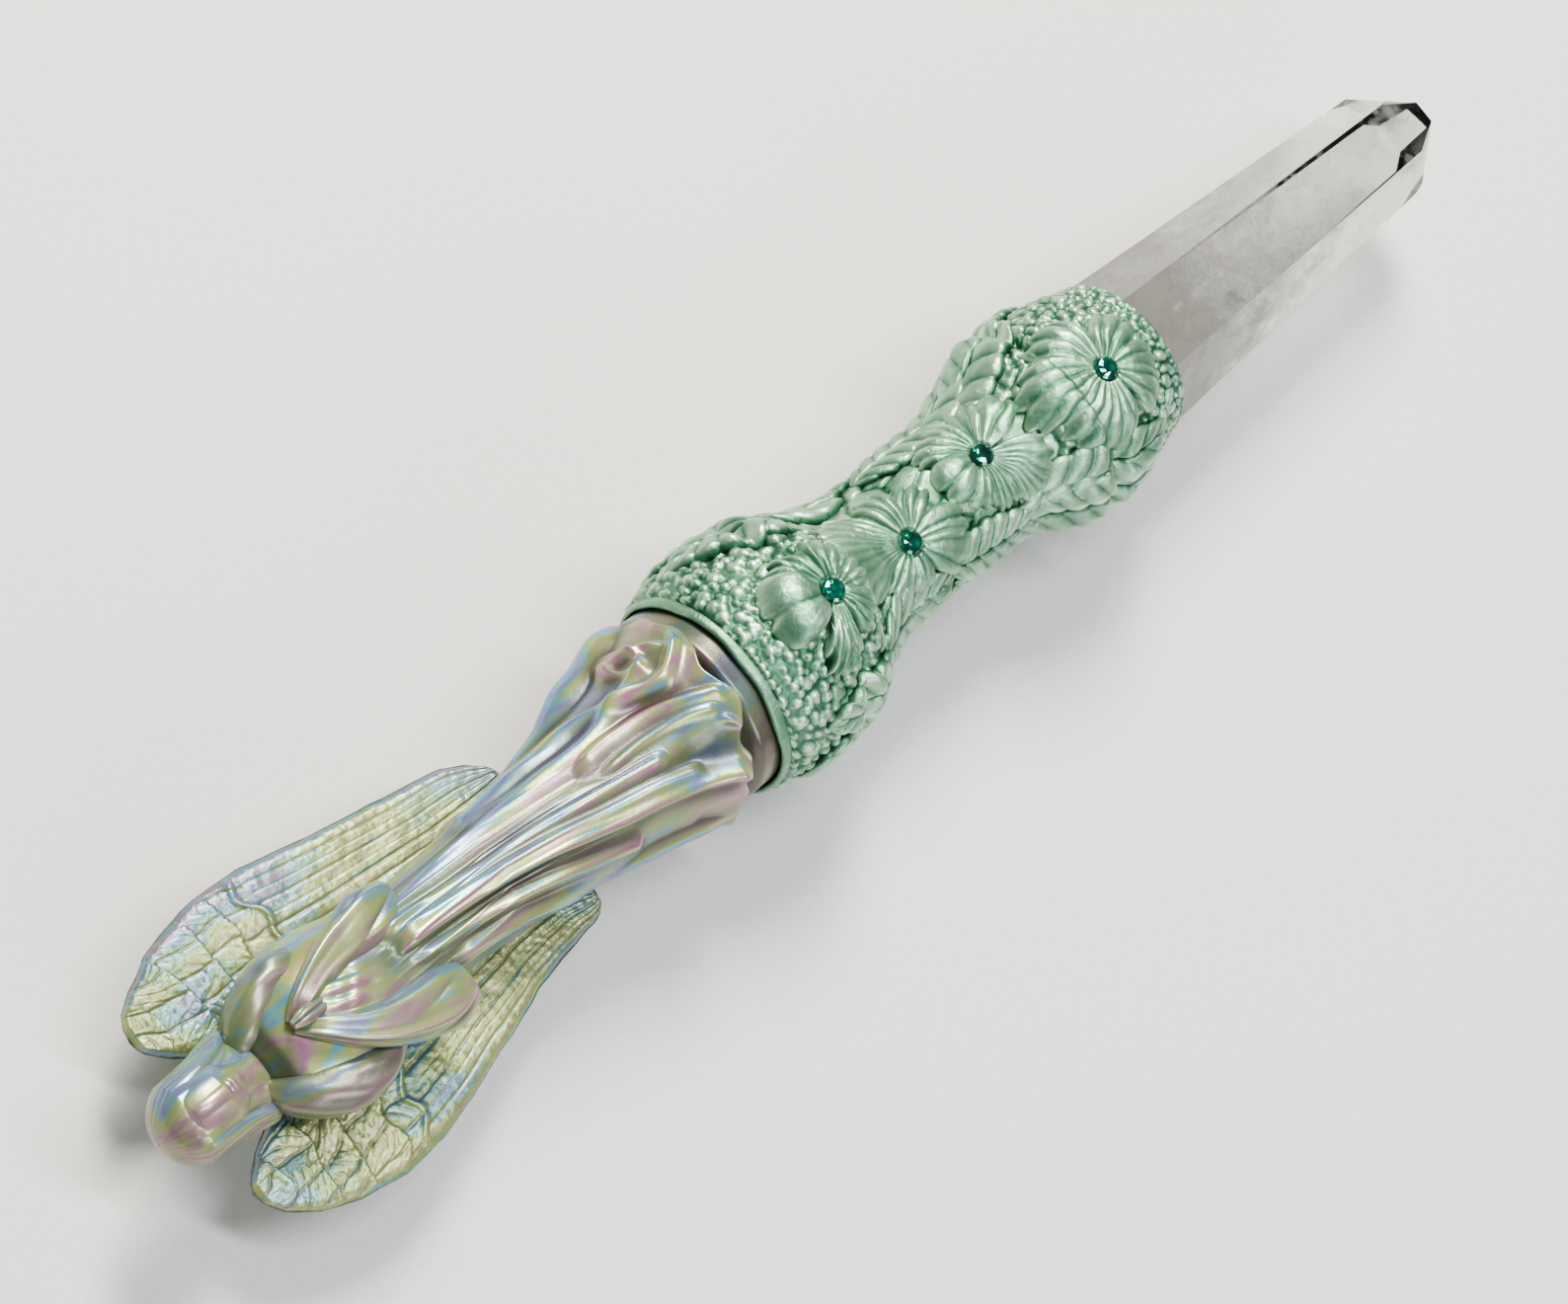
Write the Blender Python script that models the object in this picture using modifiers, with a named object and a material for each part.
"""Hand-made wand: a quartz point in a clay grip of flowers and leaves, with a winged praying figure.

Metres, +Z up. The wand lies on its back along X, with the figure at -X and the quartz tip at +X.
A station is a distance along the wand from the edge of the grip's collar, positive towards the quartz.
An angle round the wand is 0 at the front (+Z) and grows towards +Y, the figure's left.
"""

import math

import bmesh
import bpy
import numpy as np
from mathutils import Matrix

GAP = 0.0003                    # left between two pieces that touch
CUT_BEYOND = 0.002              # how far a cutter runs past the face that it opens
MERGE_DISTANCE = 0.00001        # closes a turned shape on its axis

# Core rod
CORE_RADIUS = 0.0050
CORE_SEAT = 0.0120              # depth of the rod's hole in the figure's base

# Quartz point: six-sided, seated in the grip, tapering twice and ending in six tip faces
CRYSTAL_SIDES = 6
CRYSTAL_ROOT_RADIUS = 0.0103    # corner radius in the socket
CRYSTAL_WAIST_RADIUS = 0.0077   # corner radius where the taper eases
CRYSTAL_SHOULDER_RADIUS = 0.0075
CRYSTAL_SEAT = 0.0146           # length in the socket
CRYSTAL_TAPER_LENGTH = 0.0414   # from the socket's mouth to where the taper eases
CRYSTAL_UPPER_LENGTH = 0.0125   # from there to the shoulders
CRYSTAL_TIP_LENGTH = 0.0053
SOCKET_GAP = 0.0002

# Figure's base plug
BASE_RADIUS = 0.0126
BASE_SEAT = 0.0125              # length inside the collar
BASE_SHOW = 0.0047              # length between the collar and the hem

# Grip sheath: lengths along the wand from the collar to the mouth, and wall thicknesses
COLLAR_FLARE = 0.0050
LOWER_BULGE_LENGTH = 0.0090
LOWER_SHOULDER = 0.0130
WAIST_LENGTH = 0.0190
UPPER_SHOULDER = 0.0147
UPPER_BULGE_LENGTH = 0.0070
MOUTH_TAPER = 0.0079
COLLAR_WALL = 0.0007
LOWER_WALL = 0.0017
WAIST_WALL = 0.0033
UPPER_WALL = 0.0022
MOUTH_WALL = 0.0004

# Collar lip
LIP_WIDTH = 0.0018
LIP_REACH = 0.0006              # how far it stands out over the figure's base
LIP_WALL = 0.0009
LIP_ROUNDING = 0.0003

# Flowers and rhinestones
TIP_FLOWER_RADIUS = 0.0110
COLLAR_FLOWER_RADIUS = 0.0080
BACK_TIP_FLOWER_RADIUS = 0.0090
BACK_WAIST_FLOWER_RADIUS = 0.0065
FLOWER_HEIGHT = 0.0018
FLOWER_SPACING = 0.0004         # bare clay between neighbours
COLLAR_FLOWER_STATION = 0.0142
WAIST_FLOWER_SWAY = math.radians(8.5)   # the upper one leans left, the lower one right
PETALS = 5
PETAL_STEPS = 6                 # mesh steps in one petal
SEAT_DEPTH = 0.0008             # thickness of clay under a rhinestone
STONE_RADIUS = 0.00153
STONE_TABLE_RADIUS = 0.00080
STONE_HEIGHT = 0.0009
STONE_FACETS = 8
STONE_GAP = 0.00015

# Leaves
LEAF_THICKNESS = 0.0010
LOWER_LEAF_LENGTH = 0.0160
UPPER_LEAF_LENGTH = 0.0210
UPPER_LEAF_RETREAT = 0.0059      # how far the upper leaves lie behind the tip flower's middle
LOWER_LEAF_WIDTH = 0.0105
UPPER_LEAF_WIDTH = 0.0096
WAIST_LEAF_WIDTH = 0.0066
WAIST_LEAVES = 2                # along each side of the waist
LOWER_LEAF_ANGLE = math.radians(64)
LEAF_TILT = math.radians(9)
BACK_LEAF_ANGLE = math.radians(20)   # from straight behind
BACK_LEAF_WIDTH = 0.0078
BACK_LEAF_THICKNESS = 0.0015

# Figure
FIGURE_SIDESTEP = -0.0006       # the figure sits a little to its right of the grip's axis
BODY_LENGTH = 0.0460            # from the shoulders to where the skirt flares
SKIRT_LENGTH = 0.0195
BODY_HALF_WIDTH = 0.0060
KNEE_HALF_WIDTH = 0.0082
BODY_FRONT = 0.0050             # the chest's height above the axis
BODY_BACK = 0.0037              # the back's depth under the axis
HEM_FLARE = 0.0007              # how much wider than the base the hem is
FOLDS = 9
FOLD_DEPTH = 0.05               # as a share of the section
ROBE_SIDES = 36
NECK_RADIUS = 0.0029
NECK_LENGTH = 0.0025
HEAD_LENGTH = 0.0108
HEAD_HALF_WIDTH = 0.0046
HEAD_RISE = 0.0030              # the head's middle above the axis
HAIR_THICKNESS = 0.0008
HAIR_BACK = 0.0005              # extra thickness behind the head
HAIRLINE = 0.0019               # height of the hair's edge over the head's middle
SLEEVE_RADIUS = 0.0025
SLEEVE_LENGTH = 0.0150
FOREARM_LENGTH = 0.0165
FOREARM_RADIUS = 0.0024
CUFF_RADIUS = 0.0034
FOREARM_SPREAD = math.radians(26)
HANDS_LENGTH = 0.0070
HANDS_HALF_WIDTH = 0.0015
HANDS_HALF_DEPTH = 0.0020
WING_RISE = 0.0095              # how far the wings stand above the shoulders
WING_SPAN = 0.0194              # from the middle to a wing's outer edge
WING_THICKNESS = 0.0022
WING_EDGE = 0.0005              # rounding of a wing's edge

# Sizes that follow from the ones above
GRIP_LENGTH = (
    COLLAR_FLARE
    + LOWER_BULGE_LENGTH
    + LOWER_SHOULDER
    + WAIST_LENGTH
    + UPPER_SHOULDER
    + UPPER_BULGE_LENGTH
    + MOUTH_TAPER
)
BASE_SOCKET_RADIUS = BASE_RADIUS + GAP
CORE_BORE_RADIUS = CORE_RADIUS + GAP
COLLAR_RADIUS = BASE_SOCKET_RADIUS + COLLAR_WALL
LOWER_BULGE_RADIUS = BASE_SOCKET_RADIUS + LOWER_WALL
WAIST_RADIUS = CORE_BORE_RADIUS + WAIST_WALL
UPPER_BULGE_RADIUS = CRYSTAL_ROOT_RADIUS + GAP + UPPER_WALL
MOUTH_RADIUS = CRYSTAL_ROOT_RADIUS + SOCKET_GAP + MOUTH_WALL
SHEATH_START = LIP_WIDTH - LIP_REACH + GAP
WAIST_START = COLLAR_FLARE + LOWER_BULGE_LENGTH + LOWER_SHOULDER
UPPER_BULGE_START = WAIST_START + WAIST_LENGTH + UPPER_SHOULDER
LOWER_LEAF_STATION = COLLAR_FLARE + 0.8 * LOWER_BULGE_LENGTH
UPPER_BULGE_MIDDLE = UPPER_BULGE_START + 0.5 * UPPER_BULGE_LENGTH
TIP_FLOWER_STATION = UPPER_BULGE_MIDDLE
UPPER_LEAF_STATION = TIP_FLOWER_STATION - UPPER_LEAF_RETREAT
SHOULDER_STATION = -(BASE_SHOW + GAP + SKIRT_LENGTH + BODY_LENGTH)
REST_DEPTH = (LOWER_BULGE_RADIUS + GAP + BACK_LEAF_THICKNESS) * math.cos(BACK_LEAF_ANGLE)

GRIP_LEVELS = (
    (0.0, COLLAR_FLARE, LOWER_BULGE_RADIUS),
    (COLLAR_FLARE + LOWER_BULGE_LENGTH, WAIST_START, WAIST_RADIUS),
    (WAIST_START + WAIST_LENGTH, UPPER_BULGE_START, UPPER_BULGE_RADIUS),
    (UPPER_BULGE_START + UPPER_BULGE_LENGTH, GRIP_LENGTH, MOUTH_RADIUS),
)


def clear_scene():
    for obj in list(bpy.data.objects):
        bpy.data.objects.remove(obj)


def add_collection(name):
    collection = bpy.data.collections.new(name)
    bpy.context.scene.collection.children.link(collection)
    return collection


def add_material(name, colour, roughness, metallic=0.0, transmission=0.0, ior=1.5):
    material = bpy.data.materials.new(name)
    material.use_nodes = True
    shader = material.node_tree.nodes["Principled BSDF"]
    shader.inputs["Base Color"].default_value = (*colour, 1.0)
    shader.inputs["Roughness"].default_value = roughness
    shader.inputs["Metallic"].default_value = metallic
    shader.inputs["Transmission Weight"].default_value = transmission
    shader.inputs["IOR"].default_value = ior
    return material


clear_scene()
PARTS = add_collection("angel_wand")
CUTTERS = add_collection("cutters")

QUARTZ = add_material("quartz", (0.86, 0.87, 0.86), 0.05, transmission=0.9, ior=1.544)
EMERALD = add_material("emerald glass", (0.0, 0.19, 0.15), 0.04, transmission=0.5, ior=1.6)
MICA_CLAY = add_material("green mica clay", (0.38, 0.53, 0.43), 0.38, metallic=0.6)
LEAF_CLAY = add_material("dark green mica clay", (0.25, 0.42, 0.32), 0.38, metallic=0.6)
PEARL_CLAY = add_material("pearl clay", (0.60, 0.60, 0.53), 0.28)
DOWEL_WOOD = add_material("birch dowel", (0.62, 0.45, 0.28), 0.6)


def add_part(name, mesh, material, parent, collection=PARTS):
    obj = bpy.data.objects.new(name, mesh)
    collection.objects.link(obj)
    if not mesh.materials:
        mesh.materials.append(material)
    obj.parent = parent
    return obj


def add_empty(name, station, parent=None, sidestep=0.0):
    empty = bpy.data.objects.new(name, None)
    PARTS.objects.link(empty)
    empty.location = (station, sidestep, 0.0)
    empty.parent = parent
    return empty


def finish_mesh(bm, name):
    """Makes a smooth-shaded mesh of the bmesh, with its sharp corners kept."""
    mesh = bpy.data.meshes.new(name)
    bm.normal_update()
    bmesh.ops.recalc_face_normals(bm, faces=bm.faces)
    bm.to_mesh(mesh)
    bm.free()
    mesh.shade_smooth()
    mesh.set_sharp_from_angle(angle=math.radians(35))
    return mesh


def smooth_step(share):
    share = np.clip(share, 0.0, 1.0)
    return share * share * (3.0 - 2.0 * share)


def grip_radius(station):
    """The sheath's radius: the collar's, changed by a smooth step to each next level."""
    radius = COLLAR_RADIUS
    level = COLLAR_RADIUS
    for start, end, reached in GRIP_LEVELS:
        radius = radius + (reached - level) * smooth_step((station - start) / (end - start))
        level = reached
    return radius


def on_grip(station, angle, height):
    """The point this far above the sheath, at a station and an angle round the wand."""
    radius = grip_radius(station) + height
    return (station, radius * math.sin(angle), radius * math.cos(angle))


def turned(name, profile, material, parent, steps, closed=False, twist=0.0, collection=PARTS):
    """A shape turned about the wand's axis from (radius, station) points, tip end first."""
    bm = bmesh.new()
    verts = [bm.verts.new((radius, 0.0, station)) for radius, station in profile]
    for first, second in zip(verts, verts[1:]):
        bm.edges.new((first, second))
    if closed:
        bm.edges.new((verts[-1], verts[0]))
    mesh = bpy.data.meshes.new(name)
    bm.to_mesh(mesh)
    bm.free()
    obj = add_part(name, mesh, material, parent, collection)
    obj.rotation_euler = (
        Matrix.Rotation(math.pi / 2, 3, "Y") @ Matrix.Rotation(twist, 3, "Z")
    ).to_euler()
    screw = obj.modifiers.new("turn", "SCREW")
    screw.steps = steps
    screw.render_steps = steps
    screw.use_merge_vertices = True
    screw.merge_threshold = MERGE_DISTANCE
    screw.use_smooth_shade = steps > CRYSTAL_SIDES
    return obj


def crystal_profile(clearance, beyond):
    """Corner radii and stations of the quartz, grown by a clearance and run on past the mouth."""
    corner = clearance / math.cos(math.pi / CRYSTAL_SIDES)
    root = CRYSTAL_ROOT_RADIUS + corner
    base = GRIP_LENGTH - CRYSTAL_SEAT - clearance
    if beyond:
        return [(0.0, GRIP_LENGTH + beyond), (root, GRIP_LENGTH + beyond), (root, base), (0.0, base)]
    ease = GRIP_LENGTH + CRYSTAL_TAPER_LENGTH
    shoulder = ease + CRYSTAL_UPPER_LENGTH
    return [
        (0.0, shoulder + CRYSTAL_TIP_LENGTH),
        (CRYSTAL_SHOULDER_RADIUS, shoulder),
        (CRYSTAL_WAIST_RADIUS, ease),
        (root, GRIP_LENGTH),
        (root, base),
        (0.0, base),
    ]


def add_crystal(root):
    twist = math.pi / CRYSTAL_SIDES
    turned("quartz_crystal", crystal_profile(0.0, 0.0), QUARTZ, root, CRYSTAL_SIDES, twist=twist)
    cutter = turned(
        "socket_cutter",
        crystal_profile(SOCKET_GAP, CUT_BEYOND),
        MICA_CLAY,
        root,
        CRYSTAL_SIDES,
        twist=twist,
        collection=CUTTERS,
    )
    cutter.hide_render = True
    cutter.display_type = "WIRE"
    return cutter


def add_core_rod(root):
    """A plain dowel from the figure's base to the quartz, with its ends eased."""
    start = BASE_SEAT - CORE_SEAT + GAP
    end = GRIP_LENGTH - CRYSTAL_SEAT - SOCKET_GAP - GAP
    easing = 0.1 * CORE_RADIUS
    profile = [
        (0.0, end),
        (CORE_RADIUS - easing, end),
        (CORE_RADIUS, end - easing),
        (CORE_RADIUS, start + easing),
        (CORE_RADIUS - easing, start),
        (0.0, start),
    ]
    turned("core_rod", profile, DOWEL_WOOD, root, 24)


def add_sheath(root, socket_cutter):
    """The turned sleeve, bored for the rod, with a round socket for the base and a six-sided one."""
    stations = np.linspace(GRIP_LENGTH, SHEATH_START, 28)
    outside = [(grip_radius(station), station) for station in stations]
    socket_end = BASE_SEAT + GAP
    inside = [
        (BASE_SOCKET_RADIUS, SHEATH_START),
        (BASE_SOCKET_RADIUS, socket_end),
        (CORE_BORE_RADIUS, socket_end),
        (CORE_BORE_RADIUS, GRIP_LENGTH),
    ]
    sheath = turned("grip_sheath", outside + inside, MICA_CLAY, root, 40, closed=True)
    cut = sheath.modifiers.new("quartz socket", "BOOLEAN")
    cut.operation = "DIFFERENCE"
    cut.solver = "EXACT"
    cut.object = socket_cutter


def add_collar_lip(root):
    """The smooth rolled edge of the clay around the figure's base."""
    inner = BASE_SOCKET_RADIUS
    outer = inner + LIP_WALL
    far = LIP_WIDTH - LIP_REACH
    near = -LIP_REACH
    ease = LIP_ROUNDING
    profile = [
        (inner, far),
        (outer - ease, far),
        (outer, far - ease),
        (outer, near + ease),
        (outer - ease, near),
        (inner, near),
    ]
    turned("collar_lip", profile, MICA_CLAY, root, 40, closed=True)


def flower_rings(radius, height):
    """Share of the radius and height over the sheath's gap, from the middle over the edge and under."""
    seat = 1.2 * STONE_RADIUS / radius
    return (
        (0.0, SEAT_DEPTH),
        (seat, SEAT_DEPTH),
        (0.55, height),
        (0.86, 0.8 * height),
        (1.0, 0.3 * height),
        (0.9, 0.0),
        (0.6, 0.0),
        (0.3, 0.0),
        (0.0, 0.0),
    )


def add_flower(name, root, station, angle, radius, height):
    """Five puffed petals pressed on the sheath round a flat seat, and the rhinestone on the seat."""
    rings = flower_rings(radius, height)
    reference = grip_radius(station) + GAP
    bm = bmesh.new()
    bmesh.ops.create_uvsphere(
        bm, u_segments=PETALS * PETAL_STEPS, v_segments=len(rings) - 1, radius=1.0
    )
    for vert in bm.verts:
        ring = round(math.acos(max(-1.0, min(1.0, vert.co.z))) / math.pi * (len(rings) - 1))
        share, rise = rings[ring]
        turn = math.atan2(vert.co.y, vert.co.x)
        lobe = abs(math.cos(0.5 * PETALS * turn))
        on_seat = ring < 2
        reach = radius * share * (1.0 if on_seat else 0.84 + 0.16 * lobe)
        place = station + reach * math.cos(turn)
        round_wand = angle + reach * math.sin(turn) / reference
        if on_seat:
            height_here = reference + rise - grip_radius(place)
        else:
            height_here = GAP + rise * (0.8 + 0.2 * lobe)
        vert.co = on_grip(place, round_wand, height_here)
    add_part(name, finish_mesh(bm, name), MICA_CLAY, root)
    add_rhinestone(name + "_rhinestone", root, station, angle, reference + SEAT_DEPTH + STONE_GAP)


def rhinestone_mesh():
    """A flat-backed stone: eight crown facets round a table. Every rhinestone shares this mesh."""
    name = "rhinestone"
    if name in bpy.data.meshes:
        return bpy.data.meshes[name]
    bm = bmesh.new()
    bmesh.ops.create_cone(
        bm,
        cap_ends=True,
        segments=STONE_FACETS,
        radius1=STONE_RADIUS,
        radius2=STONE_TABLE_RADIUS,
        depth=STONE_HEIGHT,
        matrix=Matrix.Translation((0.0, 0.0, 0.5 * STONE_HEIGHT)),
    )
    mesh = bpy.data.meshes.new(name)
    bm.to_mesh(mesh)
    bm.free()
    return mesh


def add_rhinestone(name, root, station, angle, radius):
    stone = add_part(name, rhinestone_mesh(), EMERALD, root)
    stone.location = (station, radius * math.sin(angle), radius * math.cos(angle))
    stone.rotation_euler = (-angle, 0.0, 0.0)


def add_leaf(name, root, station, angle, length, width, tilt, thickness=LEAF_THICKNESS):
    """A pointed leaf pressed on the sheath: a sphere flattened to a lens and wrapped round."""
    reference = grip_radius(station) + GAP
    bm = bmesh.new()
    bmesh.ops.create_uvsphere(bm, u_segments=14, v_segments=6, radius=1.0)
    for vert in bm.verts:
        x, y, z = vert.co
        taper = math.sqrt(max(0.0, 1.0 - x * x))
        along = 0.5 * length * x
        across = 0.5 * width * y * taper
        on_edge = abs(z) < 1e-6
        rise = 0.25 * thickness if on_edge else thickness * max(0.0, z) ** 0.6
        place = station + along * math.cos(tilt) - across * math.sin(tilt)
        round_wand = angle + (along * math.sin(tilt) + across * math.cos(tilt)) / reference
        vert.co = on_grip(place, round_wand, GAP + rise)
    add_part(name, finish_mesh(bm, name), LEAF_CLAY, root)


def waist_flower_layout():
    """Radius and stations of the two waist flowers, which fill the room between the outer ones."""
    start = COLLAR_FLOWER_STATION + COLLAR_FLOWER_RADIUS + FLOWER_SPACING
    end = TIP_FLOWER_STATION - TIP_FLOWER_RADIUS - FLOWER_SPACING
    radius = (end - start - FLOWER_SPACING) / 4.0
    return radius, (start + radius, end - radius)


def add_front_flowers(root):
    radius, (lower, upper) = waist_flower_layout()
    add_flower("tip_flower", root, TIP_FLOWER_STATION, 0.0, TIP_FLOWER_RADIUS, FLOWER_HEIGHT)
    sway = WAIST_FLOWER_SWAY
    add_flower("upper_waist_flower", root, upper, sway, radius, FLOWER_HEIGHT)
    add_flower("lower_waist_flower", root, lower, -sway, radius, FLOWER_HEIGHT)
    add_flower("collar_flower", root, COLLAR_FLOWER_STATION, 0.0, COLLAR_FLOWER_RADIUS, FLOWER_HEIGHT)


def add_back_flowers(root):
    """The one on the upper bulge stands as low as the collar's back leaves, so the wand lies level."""
    height = REST_DEPTH - UPPER_BULGE_RADIUS - GAP
    station = UPPER_BULGE_MIDDLE
    add_flower("back_tip_flower", root, station, math.pi, BACK_TIP_FLOWER_RADIUS, height)
    middle = WAIST_START + 0.5 * WAIST_LENGTH
    radius = BACK_WAIST_FLOWER_RADIUS
    add_flower("back_waist_flower", root, middle, math.pi, radius, FLOWER_HEIGHT)


def beside(flower_radius, leaf_width, station):
    """The angle at which a leaf lies next to a flower at the front."""
    reach = flower_radius + FLOWER_SPACING + 0.5 * leaf_width
    return reach / (grip_radius(station) + GAP)


def add_leaves(root):
    """Each side has a leaf on each bulge and a row of leaves on the waist between them."""
    waist_radius, _ = waist_flower_layout()
    start = LOWER_LEAF_STATION + 0.5 * LOWER_LEAF_LENGTH + FLOWER_SPACING
    end = UPPER_LEAF_STATION - 0.5 * UPPER_LEAF_LENGTH - FLOWER_SPACING
    pitch = (end - start) / WAIST_LEAVES
    waist_middle = WAIST_START + 0.5 * WAIST_LENGTH
    waist_angle = WAIST_FLOWER_SWAY + beside(waist_radius, WAIST_LEAF_WIDTH, waist_middle)
    for side, sign in (("left", 1.0), ("right", -1.0)):
        add_leaf(
            f"{side}_collar_leaf",
            root,
            LOWER_LEAF_STATION,
            sign * LOWER_LEAF_ANGLE,
            LOWER_LEAF_LENGTH,
            LOWER_LEAF_WIDTH,
            sign * LEAF_TILT,
        )
        angle = beside(TIP_FLOWER_RADIUS, UPPER_LEAF_WIDTH, UPPER_LEAF_STATION)
        add_leaf(
            f"{side}_tip_leaf",
            root,
            UPPER_LEAF_STATION,
            sign * angle,
            UPPER_LEAF_LENGTH,
            UPPER_LEAF_WIDTH,
            0.0,
        )
        add_leaf(
            f"back_{side}_collar_leaf",
            root,
            LOWER_LEAF_STATION,
            math.pi - sign * BACK_LEAF_ANGLE,
            LOWER_LEAF_LENGTH,
            BACK_LEAF_WIDTH,
            0.0,
            BACK_LEAF_THICKNESS,
        )
        for number in range(WAIST_LEAVES):
            station = start + (number + 0.5) * pitch
            add_leaf(
                f"{side}_waist_leaf_{number + 1}",
                root,
                station,
                sign * waist_angle,
                pitch - FLOWER_SPACING,
                WAIST_LEAF_WIDTH,
                0.0,
            )


def add_figure_base(figure):
    """The plug that seats in the collar, drilled for the core rod."""
    easing = 0.08 * BASE_RADIUS
    hole_end = BASE_SEAT - CORE_SEAT
    profile = [
        (0.0, hole_end),
        (CORE_BORE_RADIUS, hole_end),
        (CORE_BORE_RADIUS, BASE_SEAT),
        (BASE_RADIUS - easing, BASE_SEAT),
        (BASE_RADIUS, BASE_SEAT - easing),
        (BASE_RADIUS, 0.0),
        (BASE_RADIUS - 0.3 * easing, -0.5 * BASE_SHOW),
        (BASE_RADIUS - easing, -BASE_SHOW),
        (0.0, -BASE_SHOW),
    ]
    turned("figure_base", profile, PEARL_CLAY, figure, 40)


def robe_sections():
    """Station, half width, front, back and fold strength of the robe, from the hem to the neck."""
    hem = -(BASE_SHOW + GAP)
    knee = hem - SKIRT_LENGTH
    hem_radius = BASE_RADIUS + HEM_FLARE
    width = BODY_HALF_WIDTH
    front = BODY_FRONT
    back = BODY_BACK
    return (
        (hem, 0.0, 0.0, 0.0, 0.0),
        (hem, 0.93 * hem_radius, 0.90 * hem_radius, 0.88 * hem_radius, 0.6),
        (hem - 0.06 * SKIRT_LENGTH, hem_radius, 0.97 * hem_radius, 0.94 * hem_radius, 1.0),
        (hem - 0.30 * SKIRT_LENGTH, 0.93 * hem_radius, 0.89 * hem_radius, 0.84 * hem_radius, 1.0),
        (hem - 0.60 * SKIRT_LENGTH, 0.80 * hem_radius, 0.78 * hem_radius, 0.66 * hem_radius, 0.9),
        (hem - 0.85 * SKIRT_LENGTH, 0.70 * hem_radius, 0.68 * hem_radius, 1.35 * back, 0.7),
        (knee, KNEE_HALF_WIDTH, 1.55 * front, back, 0.6),
        (knee - 0.22 * BODY_LENGTH, 0.93 * KNEE_HALF_WIDTH, 1.32 * front, back, 0.5),
        (knee - 0.42 * BODY_LENGTH, 0.87 * KNEE_HALF_WIDTH, 1.16 * front, back, 0.4),
        (knee - 0.62 * BODY_LENGTH, 1.06 * width, 1.04 * front, back, 0.2),
        (knee - 0.82 * BODY_LENGTH, width, front, back, 0.0),
        (knee - 0.93 * BODY_LENGTH, 0.85 * width, 0.84 * front, 0.96 * back, 0.0),
        (knee - BODY_LENGTH, 0.45 * width, 0.60 * front, 0.85 * back, 0.0),
        (knee - BODY_LENGTH, 0.0, 0.0, 0.0, 0.0),
    )


def add_robe(figure):
    """A loft through the sections, on the rings of a sphere whose poles lie along the wand."""
    sections = robe_sections()
    bm = bmesh.new()
    bmesh.ops.create_uvsphere(
        bm, u_segments=ROBE_SIDES, v_segments=len(sections) - 1, radius=1.0
    )
    for vert in bm.verts:
        ring = round(math.acos(max(-1.0, min(1.0, vert.co.z))) / math.pi * (len(sections) - 1))
        station, width, front, back, strength = sections[ring]
        turn = math.atan2(vert.co.y, vert.co.x)
        fold = 1.0 - strength * FOLD_DEPTH * (0.5 + 0.5 * math.cos(FOLDS * turn))
        middle = 0.5 * (front - back)
        half_depth = 0.5 * (front + back)
        vert.co = (
            station,
            width * fold * math.sin(turn),
            middle + half_depth * fold * math.cos(turn),
        )
    add_part("robe", finish_mesh(bm, "robe"), PEARL_CLAY, figure)


def add_head(shoulders):
    """Head and neck, turned about a line along the wand and standing on the shoulders."""
    neck_end = -GAP - NECK_LENGTH
    profile = [(0.0, -GAP), (NECK_RADIUS, -GAP), (NECK_RADIUS, neck_end)]
    middle = neck_end - 0.5 * HEAD_LENGTH
    for step in range(2, 12):
        turn = math.pi * step / 12
        radius = HEAD_HALF_WIDTH * math.sin(turn)
        profile.append((radius, middle + 0.5 * HEAD_LENGTH * math.cos(turn)))
    profile.append((0.0, middle - 0.5 * HEAD_LENGTH))
    head = turned("head", profile, PEARL_CLAY, shoulders, 24)
    head.location.z = HEAD_RISE
    return middle


def ellipsoid(name, material, parent, centre, radii, collection=PARTS, segments=20, rings=12):
    bm = bmesh.new()
    bmesh.ops.create_uvsphere(bm, u_segments=segments, v_segments=rings, radius=1.0)
    bmesh.ops.scale(bm, vec=radii, verts=bm.verts)
    obj = add_part(name, finish_mesh(bm, name), material, parent, collection)
    obj.location = centre
    return obj


def add_cutter_box(name, parent, centre, sides):
    bm = bmesh.new()
    bmesh.ops.create_cube(bm, size=1.0)
    bmesh.ops.scale(bm, vec=sides, verts=bm.verts)
    mesh = bpy.data.meshes.new(name)
    bm.to_mesh(mesh)
    bm.free()
    box = add_part(name, mesh, PEARL_CLAY, parent, CUTTERS)
    box.location = centre
    return box


def add_hair(shoulders, head_middle):
    """A cap of hair: a shell round the crown and the back of the head, open over the face."""
    half_length = 0.5 * HEAD_LENGTH
    inner = (half_length + GAP, HEAD_HALF_WIDTH + GAP, HEAD_HALF_WIDTH + GAP)
    outer = (
        inner[0] + HAIR_THICKNESS,
        inner[1] + HAIR_THICKNESS,
        inner[2] + HAIR_THICKNESS,
    )
    centre = (head_middle, 0.0, HEAD_RISE)
    hair = ellipsoid("hair", PEARL_CLAY, shoulders, centre, outer)
    hair.location.z -= HAIR_BACK
    hollow = ellipsoid("hair_hollow_cutter", PEARL_CLAY, shoulders, centre, inner, CUTTERS)
    width = 3.0 * outer[1]
    face = add_cutter_box(
        "face_cutter",
        shoulders,
        (head_middle, 0.0, HEAD_RISE + HAIRLINE + 0.5 * width),
        (width, width, width),
    )
    neck = add_cutter_box(
        "neck_cutter",
        shoulders,
        (head_middle + 0.45 * half_length + 0.5 * width, 0.0, HEAD_RISE),
        (width, width, width),
    )
    for cutter in (hollow, face, neck):
        cutter.hide_render = True
        cutter.display_type = "WIRE"
        cut = hair.modifiers.new(cutter.name, "BOOLEAN")
        cut.operation = "DIFFERENCE"
        cut.solver = "EXACT"
        cut.object = cutter


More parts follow.
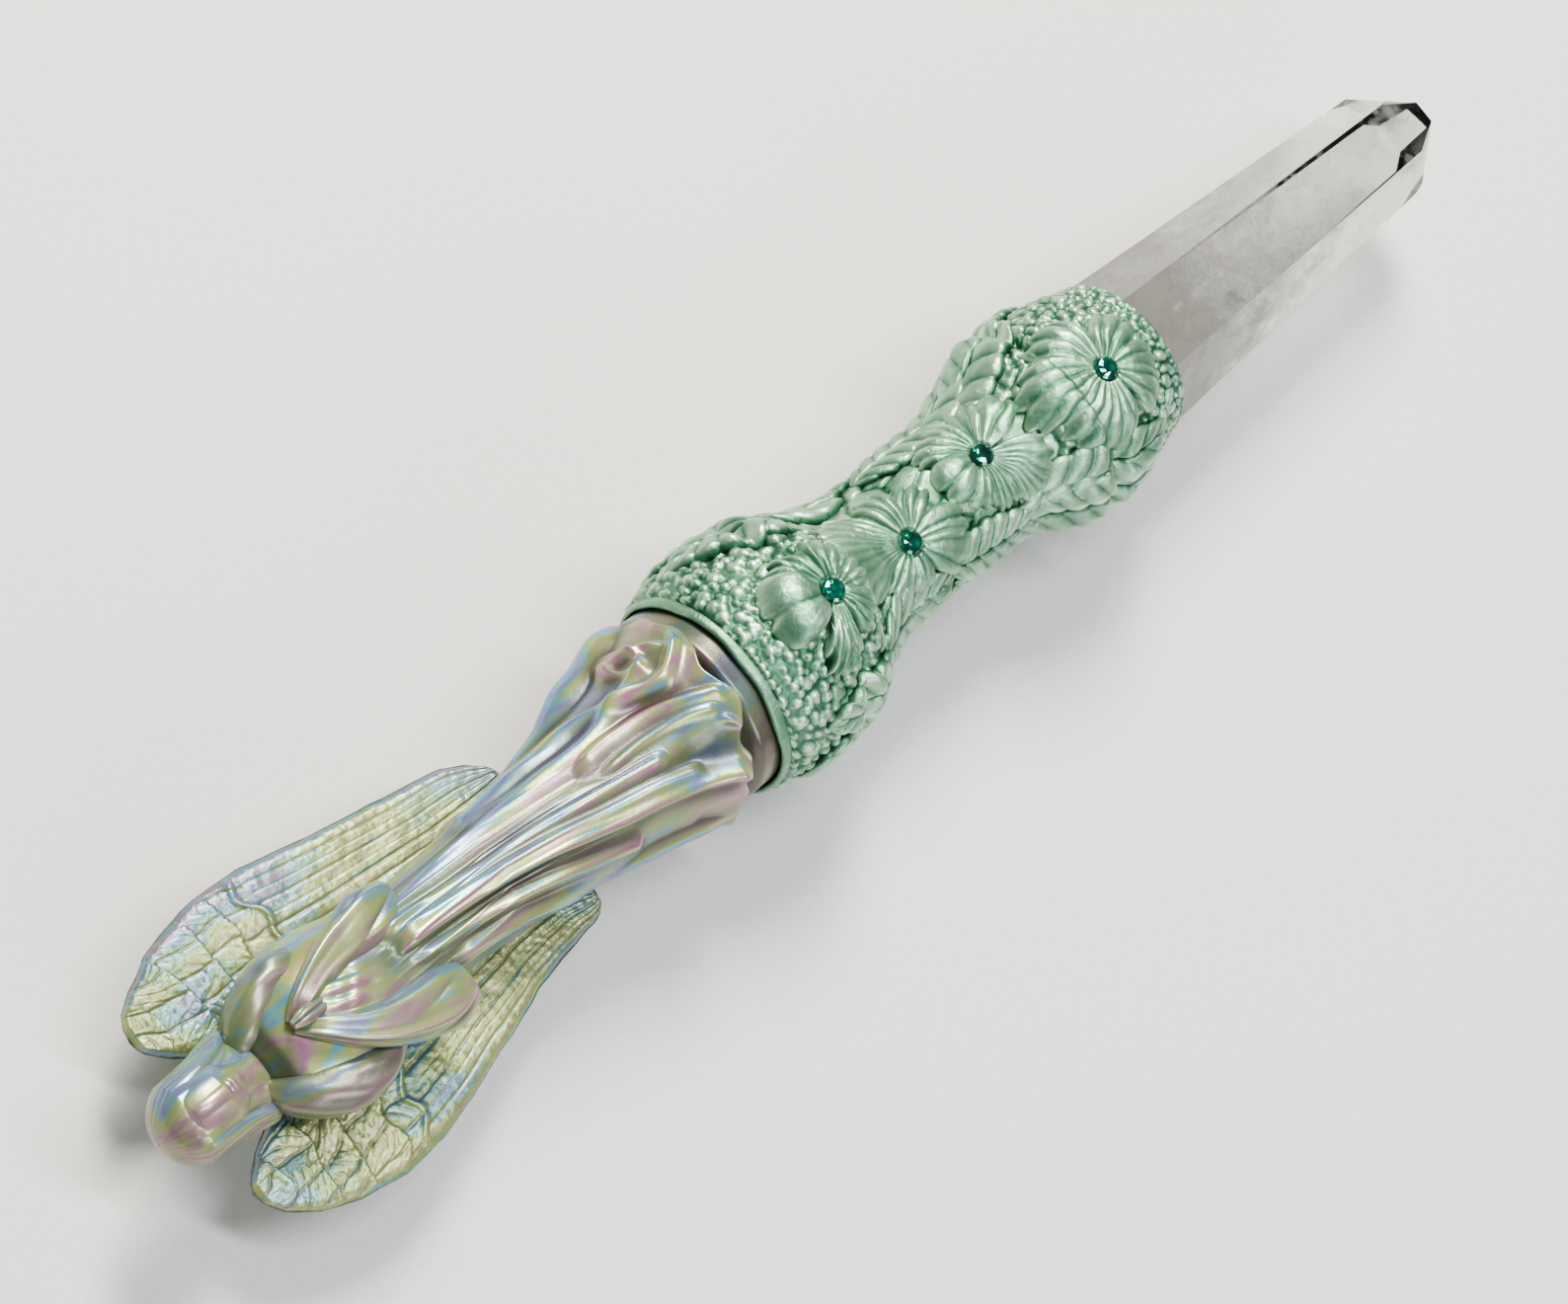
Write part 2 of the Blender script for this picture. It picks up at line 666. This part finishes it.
def tapered_limb(name, parent, start, end, start_radius, end_radius):
    """A limb with round ends: a sphere stretched from start to end, thicker towards the end."""
    start = np.array(start)
    end = np.array(end)
    axis = end - start
    length = np.linalg.norm(axis)
    turn = math.atan2(axis[1], axis[0])
    lean = math.asin(axis[2] / length)
    bm = bmesh.new()
    rotate = Matrix.Rotation(math.pi / 2, 3, "Y")
    bmesh.ops.create_uvsphere(bm, u_segments=12, v_segments=8, radius=1.0)
    for vert in bm.verts:
        share = 0.5 + 0.5 * vert.co.z
        radius = start_radius + (end_radius - start_radius) * share
        vert.co = (vert.co.x * radius, vert.co.y * radius, length * share)
        vert.co.rotate(rotate)
    limb = add_part(name, finish_mesh(bm, name), PEARL_CLAY, parent)
    limb.location = start
    limb.rotation_euler = (0.0, -lean, turn)
    return limb


def add_arms(shoulders):
    """Upper sleeves along the body's sides, and forearms that meet in front at the hands."""
    forearm_height = 1.04 * BODY_FRONT + GAP + CUFF_RADIUS
    hand_station = 0.25 * SLEEVE_LENGTH
    side_line = BODY_HALF_WIDTH + GAP + SLEEVE_RADIUS
    for side, sign in (("left", 1.0), ("right", -1.0)):
        tapered_limb(
            f"{side}_upper_sleeve",
            shoulders,
            (0.1 * SLEEVE_LENGTH, sign * 0.97 * side_line, 0.0),
            (1.1 * SLEEVE_LENGTH, sign * (side_line + 0.2 * SLEEVE_RADIUS), 0.0),
            SLEEVE_RADIUS,
            SLEEVE_RADIUS,
        )
        wrist_side = HANDS_HALF_WIDTH + GAP + 0.6 * FOREARM_RADIUS
        spread = FOREARM_LENGTH * math.sin(FOREARM_SPREAD)
        tapered_limb(
            f"{side}_forearm_sleeve",
            shoulders,
            (hand_station, sign * wrist_side, forearm_height),
            (
                hand_station + FOREARM_LENGTH * math.cos(FOREARM_SPREAD),
                sign * (wrist_side + spread),
                forearm_height,
            ),
            FOREARM_RADIUS,
            CUFF_RADIUS,
        )
    ellipsoid(
        "praying_hands",
        PEARL_CLAY,
        shoulders,
        (hand_station, 0.0, forearm_height),
        (0.5 * HANDS_LENGTH, HANDS_HALF_WIDTH, HANDS_HALF_DEPTH),
        segments=12,
        rings=8,
    )


def wing_outline():
    """Share of the wing's length from its top, and share of its span, round the outline."""
    return (
        (0.10, 0.08),
        (0.085, 0.27),
        (0.0, 0.53),
        (0.07, 0.81),
        (0.22, 0.98),
        (0.40, 0.98),
        (0.58, 0.87),
        (0.77, 0.77),
        (0.90, 0.71),
        (0.97, 0.62),
        (1.0, 0.48),
        (0.85, 0.38),
        (0.60, 0.18),
        (0.42, 0.08),
        (0.25, 0.07),
    )


def add_wing(name, shoulders, sign):
    """A flat outline with smooth corners, made solid; the wings lie against the robe's back."""
    curve = bpy.data.curves.new(name, "CURVE")
    curve.dimensions = "2D"
    curve.fill_mode = "BOTH"
    curve.extrude = 0.5 * WING_THICKNESS - WING_EDGE
    curve.bevel_depth = WING_EDGE
    curve.bevel_resolution = 1
    curve.offset = -WING_EDGE
    curve.resolution_u = 5
    length = BODY_LENGTH + WING_RISE
    spline = curve.splines.new("BEZIER")
    outline = wing_outline()
    spline.bezier_points.add(len(outline) - 1)
    for point, (share, out) in zip(spline.bezier_points, outline):
        point.co = (share * length - WING_RISE, sign * out * WING_SPAN, 0.0)
        point.handle_left_type = "AUTO"
        point.handle_right_type = "AUTO"
    spline.use_cyclic_u = True
    wing = add_part(name, curve, PEARL_CLAY, shoulders)
    wing.location.z = -(BODY_BACK + GAP + 0.5 * WING_THICKNESS)


def part_objects():
    return [obj for obj in PARTS.objects if obj.type in ("MESH", "CURVE")]


def stand_on_origin(root):
    """Moves the wand so that the middle of its footprint is the origin and its lowest point is z = 0."""
    bpy.context.view_layer.update()
    graph = bpy.context.evaluated_depsgraph_get()
    corners = []
    for obj in part_objects():
        evaluated = obj.evaluated_get(graph)
        mesh = evaluated.to_mesh()
        corners += [evaluated.matrix_world @ vert.co for vert in mesh.vertices]
        evaluated.to_mesh_clear()
    corners = np.array(corners)
    low = corners.min(axis=0)
    high = corners.max(axis=0)
    root.location = (-0.5 * (low[0] + high[0]), -0.5 * (low[1] + high[1]), -low[2])


def build_wand():
    root = add_empty("wand_axis", 0.0)
    socket_cutter = add_crystal(root)
    add_core_rod(root)
    add_sheath(root, socket_cutter)
    add_collar_lip(root)
    add_front_flowers(root)
    add_back_flowers(root)
    add_leaves(root)
    add_figure_base(root)
    figure = add_empty("figure_axis", 0.0, root, FIGURE_SIDESTEP)
    shoulders = add_empty("figure_shoulders", SHOULDER_STATION, figure)
    add_robe(figure)
    head_middle = add_head(shoulders)
    add_hair(shoulders, head_middle)
    add_arms(shoulders)
    add_wing("left_wing", shoulders, 1.0)
    add_wing("right_wing", shoulders, -1.0)
    stand_on_origin(root)


build_wand()
